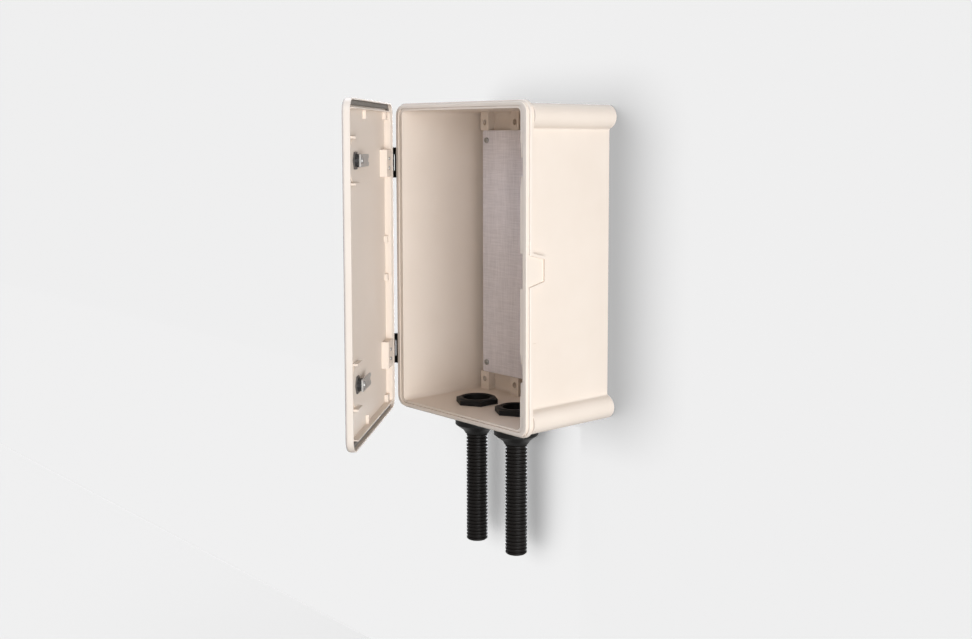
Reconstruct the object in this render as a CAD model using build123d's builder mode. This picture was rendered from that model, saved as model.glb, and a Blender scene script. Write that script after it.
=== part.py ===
"""Wall link box: a moulded cabinet with a hinged door, two cam locks and two conduit entries.

Millimetres, +Z up. The origin is the middle of the wall fixing holes on the rear face, the front
looks along -Y and the hinges are on the -X side. The door stands open at DOOR_ANGLE.
A "level" is a distance in front of the flange face, so levels inside the box are negative. Door
pieces use the level and the X and Z that they have when the door is shut.
"""

import os
from math import cos, radians, sin

from build123d import *

# Box moulding: front flange and shell
FLANGE_WIDTH = 321.0
FLANGE_HEIGHT = 500.0
FLANGE_THICK = 6.0
FLANGE_CORNER = 20.0
FLANGE_ROUND = 1.8
BODY_DEPTH = 176.0
LEDGE_SIDE = 11.0
LEDGE_END = 5.0
SIDE_WALL = 7.0
END_WALL = 7.0
BACK_WALL = 5.0
OPENING_CORNER = 8.0
BACK_ROUND = 6.0

# Half-round bead along each long corner of the shell
BEAD_RADIUS = 18.5
BEAD_INSET = 3.5
BEAD_BLEND = 4.0

# Raised sealing ring, and the rim of the opening inside it
RING_INSET_SIDE = 3.5
RING_INSET_END = 3.0
RING_CORNER = 17.0
RING_RISE = 5.0
RING_ROUND = 1.2
RING_BAND_SIDE = 7.0
RING_BAND_END = 5.5
LAND_CORNER = 11.0
RIM_RISE = 3.5
GROOVE_WIDTH = 0.8
GROOVE_DEPTH = 1.5

# Back wall: raised field, fixing lugs and plate bosses
FIELD_RISE = 2.0
FIELD_END_GAP = 17.0
LUG_WIDTH = 20.0
LUG_HEIGHT = 30.5
FIX_OUTER_INSET = 20.5
FIX_INNER_X = 46.0
FIX_END_INSET = 17.5
FIX_RADIUS = 3.5
FIX_BORE_RADIUS = 5.0
FIX_BORE_DEPTH = 8.0

# Mounting plate and its screws
PLATE_SIDE_GAP = 16.25
PLATE_END_GAP = 31.2
PLATE_THICK = 2.0
PLATE_STANDOFF = 13.0
PLATE_CORNER = 3.0
PLATE_SCREW_SIDE = 10.5
PLATE_SCREW_END = 16.6
PLATE_BOSS_RADIUS = 7.0
PLATE_SCREW_RADIUS = 2.5
PLATE_SCREW_DEPTH = 12.0
PLATE_HEAD_RADIUS = 4.75
PLATE_HEAD_HEIGHT = 3.0
PLATE_HEAD_CHAMFER = 1.0

# Moulded catch housing half way up the free side
CATCH_HALF_FRONT = 27.3
CATCH_HALF_REAR = 20.0
CATCH_REACH = 32.7
CATCH_RIB = 3.5
CATCH_WINDOW = 26.0
CATCH_WINDOW_DEPTH = 20.0

# Door moulding
DOOR_ANGLE = 47.0
DOOR_GAP = 0.3
DOOR_DEPTH = 12.0
DOOR_PANEL = 3.0
DOOR_SKIRT = 2.2
DOOR_ROUND = 4.5
RIB_SIDE_GAP = 6.0
RIB_END_GAP = 1.0
RIB_THICK = 1.6
RIB_HEIGHT = 10.0
RIB_FREE_HEIGHT = 2.5
RIB_CORNER = 6.0
CORNER_BLOCK_LENGTH = 17.0
CORNER_BLOCK_DEPTH = 13.0
CORNER_BLOCK_HEIGHT = 5.6
STOP_BLOCK = 11.0
STOP_BLOCK_Z = 31.0
STOP_BLOCK_HEIGHT = 5.4
GUSSET_X = 30.0
GUSSET_LENGTH = 14.0
GUSSET_HEIGHT = 4.4
LOCK_RIB_REACH = 24.0
LOCK_RIB_LENGTH = 30.0
LOCK_RIB_THICK = 3.2
LOCK_RIB_HEIGHT = 8.0
SEAL_SIDE_GAP = 0.4
SEAL_OVERLAP = 1.0
SEAL_GAP = 0.3
SEAL_CORNER = 10.0

# Hinges
HINGE_STANDOFF = 9.5
HINGE_LEVEL = 4.75
HINGE_END_INSET = 96.0
HINGE_LENGTH = 49.5
KNUCKLE_RADIUS = 4.6
KNUCKLE_GAP = 0.3
DOOR_KNUCKLE = 25.4
PIN_RADIUS = 2.0
PIN_CLEAR = 0.05
PIN_OVERHANG = 1.2
PIN_CHAMFER = 0.4
LEAF_THICK = 3.0
LEAF_GAP = 1.5
LEAF_FOOT_GAP = 0.5
LEAF_PAD_LENGTH = 23.0
HINGE_PAD_RISE = 2.0
HINGE_PAD_LENGTH = 26.0
HINGE_PAD_MARGIN = 3.0
BOX_SCREW_SPACING = 28.0
BOX_SCREW_RADIUS = 2.0
BOX_SCREW_DEPTH = 6.0
BOX_HEAD_RADIUS = 3.8
BOX_HEAD_HEIGHT = 2.0
TONGUE_THICK = 2.5
TONGUE_CLEAR = 0.3
TONGUE_END_GAP = 1.5
BOSS_LENGTH = 38.1
BOSS_WIDTH = 43.0
BOSS_HEIGHT = 11.3
DOOR_SCREW_INSET = 17.0
DOOR_SCREW_SPACING = 15.0
DOOR_SCREW_RADIUS = 1.6
DOOR_HEAD_RADIUS = 3.0
DOOR_HEAD_HEIGHT = 1.4

# Cam locks and the keeps that they close behind
LOCK_INSET = 64.5
LOCK_END_INSET = 88.0
LOCK_PAD_RADIUS = 33.0
LOCK_PAD_RISE = 1.3
LOCK_RECESS_RADIUS = 31.0
LOCK_HEAD_RADIUS = 13.5
LOCK_HEAD_HEIGHT = 2.8
LOCK_HEAD_ROUND = 1.0
BARREL_RADIUS = 9.45
BARREL_CLEAR = 0.15
NUT_ACROSS_FLATS = 25.0
NUT_HEIGHT = 2.4
KEY_WELL_RADIUS = 7.5
KEY_WELL_DEPTH = 2.3
KEY_HEAD_RADIUS = 7.2
KEY_HEAD_HEIGHT = 1.8
KEY_SLOT_LENGTH = 9.0
KEY_SLOT_WIDTH = 2.0
KEY_SLOT_DEPTH = 1.0
SPINDLE_RADIUS = 4.0
SPINDLE_SQUARE = 5.4
RUN_CLEAR = 0.05
CAM_BEHIND_KEEP = 0.4
CAM_CLEAR = 0.3
CAM_THICK = 2.5
CAM_WIDTH = 18.0
CAM_TAIL = 8.5
CAM_TIP_GAP = 2.5
CAM_TIP_ROUND = 4.0
CAM_NOTCH_WIDTH = 6.0
CAM_NOTCH_DEPTH = 5.0
CAM_SCREW_RADIUS = 1.5
CAM_SCREW_LENGTH = 9.0
CAM_HEAD_RADIUS = 4.4
CAM_HEAD_HEIGHT = 2.0
CAM_HEAD_CHAMFER = 0.5
KEEP_ABOVE = 24.0
KEEP_BELOW = 37.0
KEEP_POCKET = 5.0
KEEP_DEPTH = 24.0
KEEP_TAB_THICK = 2.0
KEEP_TAB_OUTER = 20.0
KEEP_TAB_INNER = 13.0
KEEP_TAB_REAR = 0.4
SWELL_ABOVE = 32.0
SWELL_BELOW = 53.0
SWELL_RISE = 3.0
SWELL_LENGTH = 25.0
NUB_Z = 83.0
NUB_RADIUS = 3.5
NUB_SINK = 1.0
NUB_SETBACK = 2.5

# Conduit entries through the floor
ENTRY_SPACING = 96.0
ENTRY_DEPTH = 75.0
THREAD_RADIUS = 24.75
THREAD_CLEAR = 0.5
THREAD_BORE = 22.3
LOCKNUT_ACROSS_FLATS = 62.4
LOCKNUT_HEIGHT = 10.0
LOCKNUT_CLEAR = 0.1
LOCKNUT_CHAMFER = 3.0
LOCKNUT_CHAMFER_DROP = 1.5
LOCKNUT_TURN = 30.0
THREAD_RECESS = 1.0
WASHER_RADIUS = 33.0
WASHER_THICK = 2.5
COLLAR_RADIUS = 35.4
COLLAR_EDGE = 25.5
CONE_RADIUS = 27.3
CONE_HEIGHT = 6.0
DOME_HEIGHT = 9.0
DOME_BULGE = 1.1
SOCKET_DEPTH = 26.0
SOCKET_WALL = 1.8
SOCKET_CLEAR = 0.3

# Corrugated conduit
CONDUIT_RADIUS = 17.25
CONDUIT_ROOT_RADIUS = 15.3
CONDUIT_BORE_RADIUS = 14.0
CONDUIT_PITCH = 5.76
CONDUIT_RIDGES = 31
CONDUIT_SIDES = 20

# Sizes that follow from the values above
SHELL_WIDTH = FLANGE_WIDTH - 2 * LEDGE_SIDE
SHELL_HEIGHT = FLANGE_HEIGHT - 2 * LEDGE_END
INSIDE_X = SHELL_WIDTH / 2 - SIDE_WALL
INSIDE_Z = SHELL_HEIGHT / 2 - END_WALL
BEAD_X = SHELL_WIDTH / 2 - BEAD_INSET
BEAD_Z = SHELL_HEIGHT / 2 - BEAD_RADIUS
RING_WIDTH = FLANGE_WIDTH - 2 * RING_INSET_SIDE
RING_HEIGHT = FLANGE_HEIGHT - 2 * RING_INSET_END
LAND_WIDTH = RING_WIDTH - 2 * RING_BAND_SIDE
LAND_HEIGHT = RING_HEIGHT - 2 * RING_BAND_END
FIX_OUTER_X = INSIDE_X - FIX_OUTER_INSET
FIX_Z = INSIDE_Z - FIX_END_INSET
LUG_RISE = PLATE_STANDOFF + PLATE_THICK
LUG_Z = INSIDE_Z - LUG_HEIGHT / 2
PLATE_WIDTH = 2 * (INSIDE_X - PLATE_SIDE_GAP)
PLATE_HEIGHT = 2 * (INSIDE_Z - PLATE_END_GAP)
PLATE_SCREW_X = PLATE_WIDTH / 2 - PLATE_SCREW_SIDE
PLATE_SCREW_Z = PLATE_HEIGHT / 2 - PLATE_SCREW_END
ENTRY_Y = ENTRY_DEPTH - BODY_DEPTH
HINGE_X = -(FLANGE_WIDTH / 2 + HINGE_STANDOFF)
HINGE_Y = -(BODY_DEPTH + HINGE_LEVEL)
HINGE_Z = FLANGE_HEIGHT / 2 - HINGE_END_INSET
PAD_X = -(SHELL_WIDTH / 2 + HINGE_PAD_RISE)
PANEL_LEVEL = DOOR_GAP + DOOR_DEPTH - DOOR_PANEL
OUTER_LEVEL = DOOR_GAP + DOOR_DEPTH
RIB_X = INSIDE_X - RIB_SIDE_GAP
RIB_Z = INSIDE_Z - RIB_END_GAP
BOSS_X = -(RIB_X - RIB_THICK - BOSS_LENGTH)
BOSS_LEVEL = PANEL_LEVEL - BOSS_HEIGHT
DOOR_SCREW_X = BOSS_X - DOOR_SCREW_INSET
TONGUE_END = BOSS_X - TONGUE_END_GAP - 2 * DOOR_HEAD_RADIUS
TONGUE_SLOT = TONGUE_THICK + TONGUE_CLEAR
LOCK_X = FLANGE_WIDTH / 2 - LOCK_INSET
LOCK_Z = FLANGE_HEIGHT / 2 - LOCK_END_INSET
LOCK_SEAT = OUTER_LEVEL - LOCK_PAD_RISE
LOCK_FRONT = LOCK_SEAT + LOCK_HEAD_HEIGHT
NUT_LEVEL = PANEL_LEVEL - LOCK_PAD_RISE
CAM_LEVEL = KEEP_TAB_REAR - CAM_BEHIND_KEEP
CAM_REACH = INSIDE_X + KEEP_POCKET - CAM_TIP_GAP - LOCK_X
KEEP_Z = LOCK_Z + (KEEP_ABOVE - KEEP_BELOW) / 2
FLOOR_Z = -INSIDE_Z
UNDER_Z = -SHELL_HEIGHT / 2
COLLAR_Z = UNDER_Z - WASHER_THICK
CONE_Z = COLLAR_Z - COLLAR_EDGE - CONE_HEIGHT
DOME_Z = CONE_Z - DOME_HEIGHT
SOCKET_RADIUS = CONDUIT_RADIUS + SOCKET_CLEAR
SOCKET_Z = DOME_Z + SOCKET_DEPTH

# Directions of the open door
SWING = radians(DOOR_ANGLE)
DOOR_ORIGIN = (HINGE_X - HINGE_X * cos(SWING), HINGE_Y + HINGE_X * sin(SWING), 0)
DOOR_ACROSS = (cos(SWING), -sin(SWING), 0)
DOOR_OUTWARD = (-sin(SWING), -cos(SWING), 0)
DOOR_AXIS = Axis(DOOR_ORIGIN, DOOR_OUTWARD)

# Two points closer than this are taken to be the same point
TOUCH = 0.01
# Cuts run this far past the face that they start from
PAST = 1.0

ENDS = (("upper", 1), ("lower", -1))
SIDES = (("left", -1), ("right", 1))


def front_plane(level):
    """Plane parallel to the wall, at a level in front of the flange face."""
    return Plane.XZ.offset(BODY_DEPTH + level)


def door_plane(level):
    """Plane of the open door, at the level that it has when the door is shut."""
    shut = Plane(origin=DOOR_ORIGIN, x_dir=DOOR_ACROSS, z_dir=DOOR_OUTWARD)
    return shut.offset(level - HINGE_LEVEL)


def leaf_plane(z):
    """Level plane at height z with its origin on the hinge axis, turned with the open door."""
    return Plane(origin=(HINGE_X, HINGE_Y, z), x_dir=DOOR_ACROSS, z_dir=(0, 0, 1))


def save(piece, name):
    """Label a finished piece and write it as a STEP file of that name."""
    piece.part.label = name
    export_step(piece.part, f"parts/{name}.step")


os.makedirs("parts", exist_ok=True)

# Box body: one moulding
with BuildPart() as box_body:
    # Shell with its corner beads
    with BuildSketch(Plane.XZ) as outline:
        Rectangle(2 * BEAD_X, SHELL_HEIGHT)
        Rectangle(SHELL_WIDTH, 2 * BEAD_Z)
        with GridLocations(2 * BEAD_X, 2 * BEAD_Z, 2, 2):
            Circle(BEAD_RADIUS)
        creases = outline.vertices().filter_by(lambda v: abs(abs(v.X) - SHELL_WIDTH / 2) < TOUCH)
        fillet(creases, BEAD_BLEND)
    extrude(amount=BODY_DEPTH - FLANGE_THICK)
    # Front flange
    with BuildSketch(front_plane(-FLANGE_THICK)):
        RectangleRounded(FLANGE_WIDTH, FLANGE_HEIGHT, FLANGE_CORNER)
    extrude(amount=FLANGE_THICK)
    fillet(box_body.faces().sort_by(Axis.Y)[0].edges(), FLANGE_ROUND)
    # Sealing ring
    with BuildSketch(front_plane(0)):
        RectangleRounded(RING_WIDTH, RING_HEIGHT, RING_CORNER)
    extrude(amount=RING_RISE)
    fillet(box_body.faces().sort_by(Axis.Y)[0].edges(), RING_ROUND)
    # Lower rim of the opening, with a fine groove round it
    with BuildSketch(front_plane(RIM_RISE)):
        RectangleRounded(LAND_WIDTH, LAND_HEIGHT, LAND_CORNER)
    extrude(amount=RING_RISE - RIM_RISE, mode=Mode.SUBTRACT)
    with BuildSketch(front_plane(RIM_RISE)):
        RectangleRounded(LAND_WIDTH, LAND_HEIGHT, LAND_CORNER)
        RectangleRounded(
            LAND_WIDTH - 2 * GROOVE_WIDTH,
            LAND_HEIGHT - 2 * GROOVE_WIDTH,
            LAND_CORNER - GROOVE_WIDTH,
            mode=Mode.SUBTRACT,
        )
    extrude(amount=-GROOVE_DEPTH, mode=Mode.SUBTRACT)
    # Catch housing and the swells behind the keeps, on the free side
    with BuildSketch(Plane.YZ.offset(SHELL_WIDTH / 2 - PAST)):
        with BuildLine():
            Polyline(
                (FLANGE_THICK / 2 - BODY_DEPTH, CATCH_HALF_FRONT),
                (CATCH_REACH - BODY_DEPTH, CATCH_HALF_REAR),
                (CATCH_REACH - BODY_DEPTH, -CATCH_HALF_REAR),
                (FLANGE_THICK / 2 - BODY_DEPTH, -CATCH_HALF_FRONT),
                close=True,
            )
        make_face()
    extrude(amount=LEDGE_SIDE + PAST)
    with BuildSketch(Plane.YZ.offset(FLANGE_WIDTH / 2)):
        with BuildLine():
            Polyline(
                (-PAST - BODY_DEPTH, CATCH_HALF_FRONT - CATCH_RIB),
                (CATCH_REACH - CATCH_RIB - BODY_DEPTH, CATCH_HALF_REAR - CATCH_RIB),
                (CATCH_REACH - CATCH_RIB - BODY_DEPTH, CATCH_RIB - CATCH_HALF_REAR),
                (-PAST - BODY_DEPTH, CATCH_RIB - CATCH_HALF_FRONT),
                close=True,
            )
        make_face()
    extrude(amount=-RING_INSET_SIDE, mode=Mode.SUBTRACT)
    for low in (LOCK_Z - SWELL_BELOW, -LOCK_Z - SWELL_ABOVE):
        with BuildSketch(Plane.XY.offset(low)):
            with BuildLine():
                Polyline(
                    (SHELL_WIDTH / 2 - PAST, FLANGE_THICK - PAST - BODY_DEPTH),
                    (SHELL_WIDTH / 2 + SWELL_RISE, FLANGE_THICK - PAST - BODY_DEPTH),
                    (SHELL_WIDTH / 2 - PAST, FLANGE_THICK + SWELL_LENGTH - BODY_DEPTH),
                    close=True,
                )
            make_face()
        extrude(amount=SWELL_BELOW + SWELL_ABOVE)
    # Two round nubs behind the flange, between the swells and the catch housing
    for sign in (1, -1):
        nub_y = FLANGE_THICK + NUB_SETBACK - BODY_DEPTH
        with Locations((SHELL_WIDTH / 2 - NUB_SINK, nub_y, sign * NUB_Z)):
            Sphere(NUB_RADIUS)
    # Flat seats for the hinge leaves, on the hinge side
    with BuildSketch(Plane.YZ.offset(PAST - SHELL_WIDTH / 2)):
        with Locations((FLANGE_THICK + HINGE_PAD_LENGTH / 2 - BODY_DEPTH, 0)):
            with GridLocations(1, 2 * HINGE_Z, 1, 2):
                Rectangle(HINGE_PAD_LENGTH, HINGE_LENGTH + 2 * HINGE_PAD_MARGIN)
    extrude(amount=-HINGE_PAD_RISE - PAST)
    # Cavity
    with BuildSketch(Plane.XZ.offset(BACK_WALL)):
        RectangleRounded(2 * INSIDE_X, 2 * INSIDE_Z, OPENING_CORNER)
    extrude(amount=BODY_DEPTH + RING_RISE, mode=Mode.SUBTRACT)
    fillet(box_body.faces().filter_by(Axis.Y).sort_by(Axis.Y)[-2].edges(), BACK_ROUND)
    # Raised field, fixing lugs and plate bosses on the back wall
    with BuildSketch(Plane.XZ.offset(BACK_WALL)):
        Rectangle(PLATE_WIDTH, 2 * (INSIDE_Z - FIELD_END_GAP))
    extrude(amount=FIELD_RISE)
    with BuildSketch(Plane.XZ.offset(BACK_WALL)):
        with GridLocations(2 * FIX_OUTER_X, 2 * LUG_Z, 2, 2):
            Rectangle(LUG_WIDTH, LUG_HEIGHT)
        with GridLocations(2 * FIX_INNER_X, 2 * LUG_Z, 2, 2):
            Rectangle(LUG_WIDTH, LUG_HEIGHT)
    extrude(amount=LUG_RISE)
    with BuildSketch(Plane.XZ.offset(BACK_WALL)):
        with GridLocations(2 * PLATE_SCREW_X, 2 * PLATE_SCREW_Z, 2, 2):
            Circle(PLATE_BOSS_RADIUS)
    extrude(amount=PLATE_STANDOFF)
    with Locations(Plane.XZ.offset(BACK_WALL + LUG_RISE)):
        for spread in (FIX_OUTER_X, FIX_INNER_X):
            with GridLocations(2 * spread, 2 * FIX_Z, 2, 2):
                CounterBoreHole(FIX_RADIUS, FIX_BORE_RADIUS, FIX_BORE_DEPTH, BACK_WALL + LUG_RISE)
    with Locations(Plane.XZ.offset(BACK_WALL + PLATE_STANDOFF)):
        with GridLocations(2 * PLATE_SCREW_X, 2 * PLATE_SCREW_Z, 2, 2):
            Hole(PLATE_SCREW_RADIUS + PIN_CLEAR, PLATE_SCREW_DEPTH + PIN_CLEAR)
    # Keep pockets in the rim of the free side
    with BuildSketch(front_plane(RIM_RISE)):
        with Locations((INSIDE_X + (KEEP_POCKET - PAST) / 2, 0)):
            with GridLocations(1, 2 * KEEP_Z, 1, 2):
                Rectangle(KEEP_POCKET + PAST, KEEP_ABOVE + KEEP_BELOW)
    extrude(amount=-RIM_RISE - KEEP_DEPTH, mode=Mode.SUBTRACT)
    with BuildSketch(front_plane(RIM_RISE)):
        with Locations((INSIDE_X + (KEEP_POCKET - PAST) / 2, 0)):
            Rectangle(KEEP_POCKET + PAST, 2 * CATCH_WINDOW)
    extrude(amount=-RIM_RISE - CATCH_WINDOW_DEPTH, mode=Mode.SUBTRACT)
    # Screw holes of the hinge seats, and the two conduit holes in the floor
    with BuildSketch(Plane.YZ.offset(PAD_X)):
        with Locations((FLANGE_THICK + HINGE_PAD_LENGTH / 2 - BODY_DEPTH, 0)):
            for sign in (1, -1):
                with Locations((0, sign * HINGE_Z)):
                    with GridLocations(1, BOX_SCREW_SPACING, 1, 2):
                        Circle(BOX_SCREW_RADIUS + PIN_CLEAR)
    extrude(amount=BOX_SCREW_DEPTH + PIN_CLEAR, mode=Mode.SUBTRACT)
    with BuildSketch(Plane.XY.offset(UNDER_Z - PAST)):
        with Locations((0, ENTRY_Y)):
            with GridLocations(ENTRY_SPACING, 1, 2, 1):
                Circle(THREAD_RADIUS + THREAD_CLEAR)
    extrude(amount=END_WALL + 2 * PAST, mode=Mode.SUBTRACT)
save(box_body, "box_body")

# Two tabs across the mouth of each keep pocket
with BuildPart() as keep_tabs:
    with BuildSketch(front_plane(KEEP_TAB_REAR)):
        with Locations((INSIDE_X + KEEP_POCKET / 2, 0)):
            with GridLocations(1, 2 * (LOCK_Z + KEEP_ABOVE) - KEEP_TAB_OUTER, 1, 2):
                Rectangle(KEEP_POCKET, KEEP_TAB_OUTER)
            with GridLocations(1, 2 * (LOCK_Z - KEEP_BELOW) + KEEP_TAB_INNER, 1, 2):
                Rectangle(KEEP_POCKET, KEEP_TAB_INNER)
    extrude(amount=KEEP_TAB_THICK)
save(keep_tabs, "keep_tabs")

# Mounting plate on the four bosses
with BuildPart() as mounting_plate:
    with BuildSketch(Plane.XZ.offset(BACK_WALL + PLATE_STANDOFF)):
        RectangleRounded(PLATE_WIDTH, PLATE_HEIGHT, PLATE_CORNER)
        with GridLocations(2 * PLATE_SCREW_X, 2 * PLATE_SCREW_Z, 2, 2):
            Circle(PLATE_SCREW_RADIUS + PIN_CLEAR, mode=Mode.SUBTRACT)
    extrude(amount=PLATE_THICK)
save(mounting_plate, "mounting_plate")

with BuildPart() as plate_screws:
    with BuildSketch(Plane.XZ.offset(BACK_WALL + LUG_RISE)):
        with GridLocations(2 * PLATE_SCREW_X, 2 * PLATE_SCREW_Z, 2, 2):
            Circle(PLATE_HEAD_RADIUS)
    extrude(amount=PLATE_HEAD_HEIGHT)
    rims = plate_screws.faces().filter_by(Axis.Y).group_by(Axis.Y)[0].edges()
    chamfer(rims, PLATE_HEAD_CHAMFER)
    with BuildSketch(Plane.XZ.offset(BACK_WALL + LUG_RISE)):
        with GridLocations(2 * PLATE_SCREW_X, 2 * PLATE_SCREW_Z, 2, 2):
            Circle(PLATE_SCREW_RADIUS)
    extrude(amount=-PLATE_SCREW_DEPTH - PLATE_THICK)
save(plate_screws, "plate_screws")

# Door: one moulding with a skirt that closes over the sealing ring
with BuildPart() as door:
    with BuildSketch(door_plane(DOOR_GAP)):
        RectangleRounded(FLANGE_WIDTH, FLANGE_HEIGHT, FLANGE_CORNER)
    extrude(amount=DOOR_DEPTH)
    fillet(door.faces().sort_by(DOOR_AXIS)[-1].edges(), DOOR_ROUND)
    with BuildSketch(door_plane(DOOR_GAP)):
        RectangleRounded(
            FLANGE_WIDTH - 2 * DOOR_SKIRT,
            FLANGE_HEIGHT - 2 * DOOR_SKIRT,
            FLANGE_CORNER - DOOR_SKIRT,
        )
    extrude(amount=DOOR_DEPTH - DOOR_PANEL, mode=Mode.SUBTRACT)
    # Rib frame that reaches into the opening, low along the free side
    with BuildSketch(door_plane(PANEL_LEVEL)):
        RectangleRounded(2 * RIB_X, 2 * RIB_Z, RIB_CORNER)
        RectangleRounded(
            2 * (RIB_X - RIB_THICK), 2 * (RIB_Z - RIB_THICK), RIB_CORNER - RIB_THICK, mode=Mode.SUBTRACT
        )
    extrude(amount=-RIB_HEIGHT)
    with BuildSketch(door_plane(PANEL_LEVEL - RIB_FREE_HEIGHT)):
        with Locations((RIB_X - (RIB_CORNER - PAST) / 2, 0)):
            Rectangle(RIB_CORNER + PAST, 2 * (RIB_Z + PAST))
    extrude(amount=RIB_FREE_HEIGHT - RIB_HEIGHT - PAST, mode=Mode.SUBTRACT)
    # Blocks and gussets along the rib frame
    with BuildSketch(door_plane(PANEL_LEVEL)):
        with Locations((CORNER_BLOCK_LENGTH / 2 - RIB_X + RIB_THICK / 2, 0)):
            with GridLocations(1, 2 * RIB_Z - RIB_THICK - CORNER_BLOCK_DEPTH, 1, 2):
                Rectangle(CORNER_BLOCK_LENGTH, CORNER_BLOCK_DEPTH)
    extrude(amount=-CORNER_BLOCK_HEIGHT)
    with BuildSketch(door_plane(PANEL_LEVEL)):
        with Locations((STOP_BLOCK / 2 - RIB_X + RIB_THICK / 2, 0)):
            with GridLocations(1, 2 * STOP_BLOCK_Z, 1, 2):
                Rectangle(STOP_BLOCK, STOP_BLOCK)
    extrude(amount=-STOP_BLOCK_HEIGHT)
    with BuildSketch(door_plane(PANEL_LEVEL)):
        with Locations((GUSSET_X, 0)):
            with GridLocations(1, 2 * RIB_Z - RIB_THICK - GUSSET_LENGTH, 1, 2):
                Rectangle(RIB_THICK, GUSSET_LENGTH)
    extrude(amount=-GUSSET_HEIGHT)
    # Round lock pads with a rib each side, dished on the outside
    with BuildSketch(door_plane(PANEL_LEVEL)):
        with Locations((LOCK_X + LOCK_RIB_REACH - LOCK_RIB_LENGTH / 2, 0)):
            for sign in (1, -1):
                with Locations((0, sign * LOCK_Z)):
                    with GridLocations(1, 2 * LOCK_PAD_RADIUS, 1, 2):
                        Rectangle(LOCK_RIB_LENGTH, LOCK_RIB_THICK)
    extrude(amount=-LOCK_RIB_HEIGHT)
    with BuildSketch(door_plane(PANEL_LEVEL)):
        with Locations((LOCK_X, LOCK_Z), (LOCK_X, -LOCK_Z)):
            Circle(LOCK_PAD_RADIUS)
    extrude(amount=-LOCK_PAD_RISE)
    with BuildSketch(door_plane(OUTER_LEVEL)):
        with Locations((LOCK_X, LOCK_Z), (LOCK_X, -LOCK_Z)):
            Circle(LOCK_RECESS_RADIUS)
    extrude(amount=-LOCK_PAD_RISE, mode=Mode.SUBTRACT)
    with BuildSketch(door_plane(NUT_LEVEL - PAST)):
        with Locations((LOCK_X, LOCK_Z), (LOCK_X, -LOCK_Z)):
            Circle(BARREL_RADIUS + BARREL_CLEAR)
    extrude(amount=DOOR_PANEL + 2 * PAST, mode=Mode.SUBTRACT)
    # Hinge bosses, slotted for the tongues of the door leaves
    with BuildSketch(door_plane(PANEL_LEVEL)):
        with Locations((BOSS_X - (BOSS_LENGTH + RIB_THICK / 2) / 2, 0)):
            with GridLocations(1, 2 * HINGE_Z, 1, 2):
                Rectangle(BOSS_LENGTH + RIB_THICK / 2, BOSS_WIDTH)
    extrude(amount=-BOSS_HEIGHT)
    with BuildSketch(door_plane(PANEL_LEVEL)):
        with Locations(((TONGUE_END + TONGUE_CLEAR - FLANGE_WIDTH / 2 - PAST) / 2, 0)):
            with GridLocations(1, 2 * HINGE_Z, 1, 2):
                Rectangle(
                    TONGUE_END + TONGUE_CLEAR + FLANGE_WIDTH / 2 + PAST, DOOR_KNUCKLE + 2 * TONGUE_CLEAR
                )
    extrude(amount=-TONGUE_SLOT, mode=Mode.SUBTRACT)
    with BuildSketch(door_plane(BOSS_LEVEL)):
        for sign in (1, -1):
            with Locations((DOOR_SCREW_X, sign * HINGE_Z)):
                with GridLocations(1, DOOR_SCREW_SPACING, 1, 2):
                    Circle(DOOR_SCREW_RADIUS + PIN_CLEAR)
    extrude(amount=BOSS_HEIGHT - TONGUE_THICK, mode=Mode.SUBTRACT)
save(door, "door")

# Foam seal in the channel between skirt and rib frame, relieved over the hinge tongues
with BuildPart() as door_gasket:
    with BuildSketch(door_plane(PANEL_LEVEL)):
        RectangleRounded(
            FLANGE_WIDTH - 2 * (DOOR_SKIRT + SEAL_SIDE_GAP),
            FLANGE_HEIGHT - 2 * (DOOR_SKIRT + SEAL_SIDE_GAP),
            FLANGE_CORNER - DOOR_SKIRT - SEAL_SIDE_GAP,
        )
        RectangleRounded(
            LAND_WIDTH - 2 * SEAL_OVERLAP, LAND_HEIGHT - 2 * SEAL_OVERLAP, SEAL_CORNER, mode=Mode.SUBTRACT
        )
    extrude(amount=RING_RISE + SEAL_GAP - PANEL_LEVEL)
    with BuildSketch(door_plane(PANEL_LEVEL)):
        with Locations((-FLANGE_WIDTH / 2, 0)):
            with GridLocations(1, 2 * HINGE_Z, 1, 2):
                Rectangle(FLANGE_WIDTH - LAND_WIDTH + 2 * PAST, DOOR_KNUCKLE + 2 * TONGUE_CLEAR)
    extrude(amount=-TONGUE_SLOT, mode=Mode.SUBTRACT)
save(door_gasket, "door_gasket")

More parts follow.
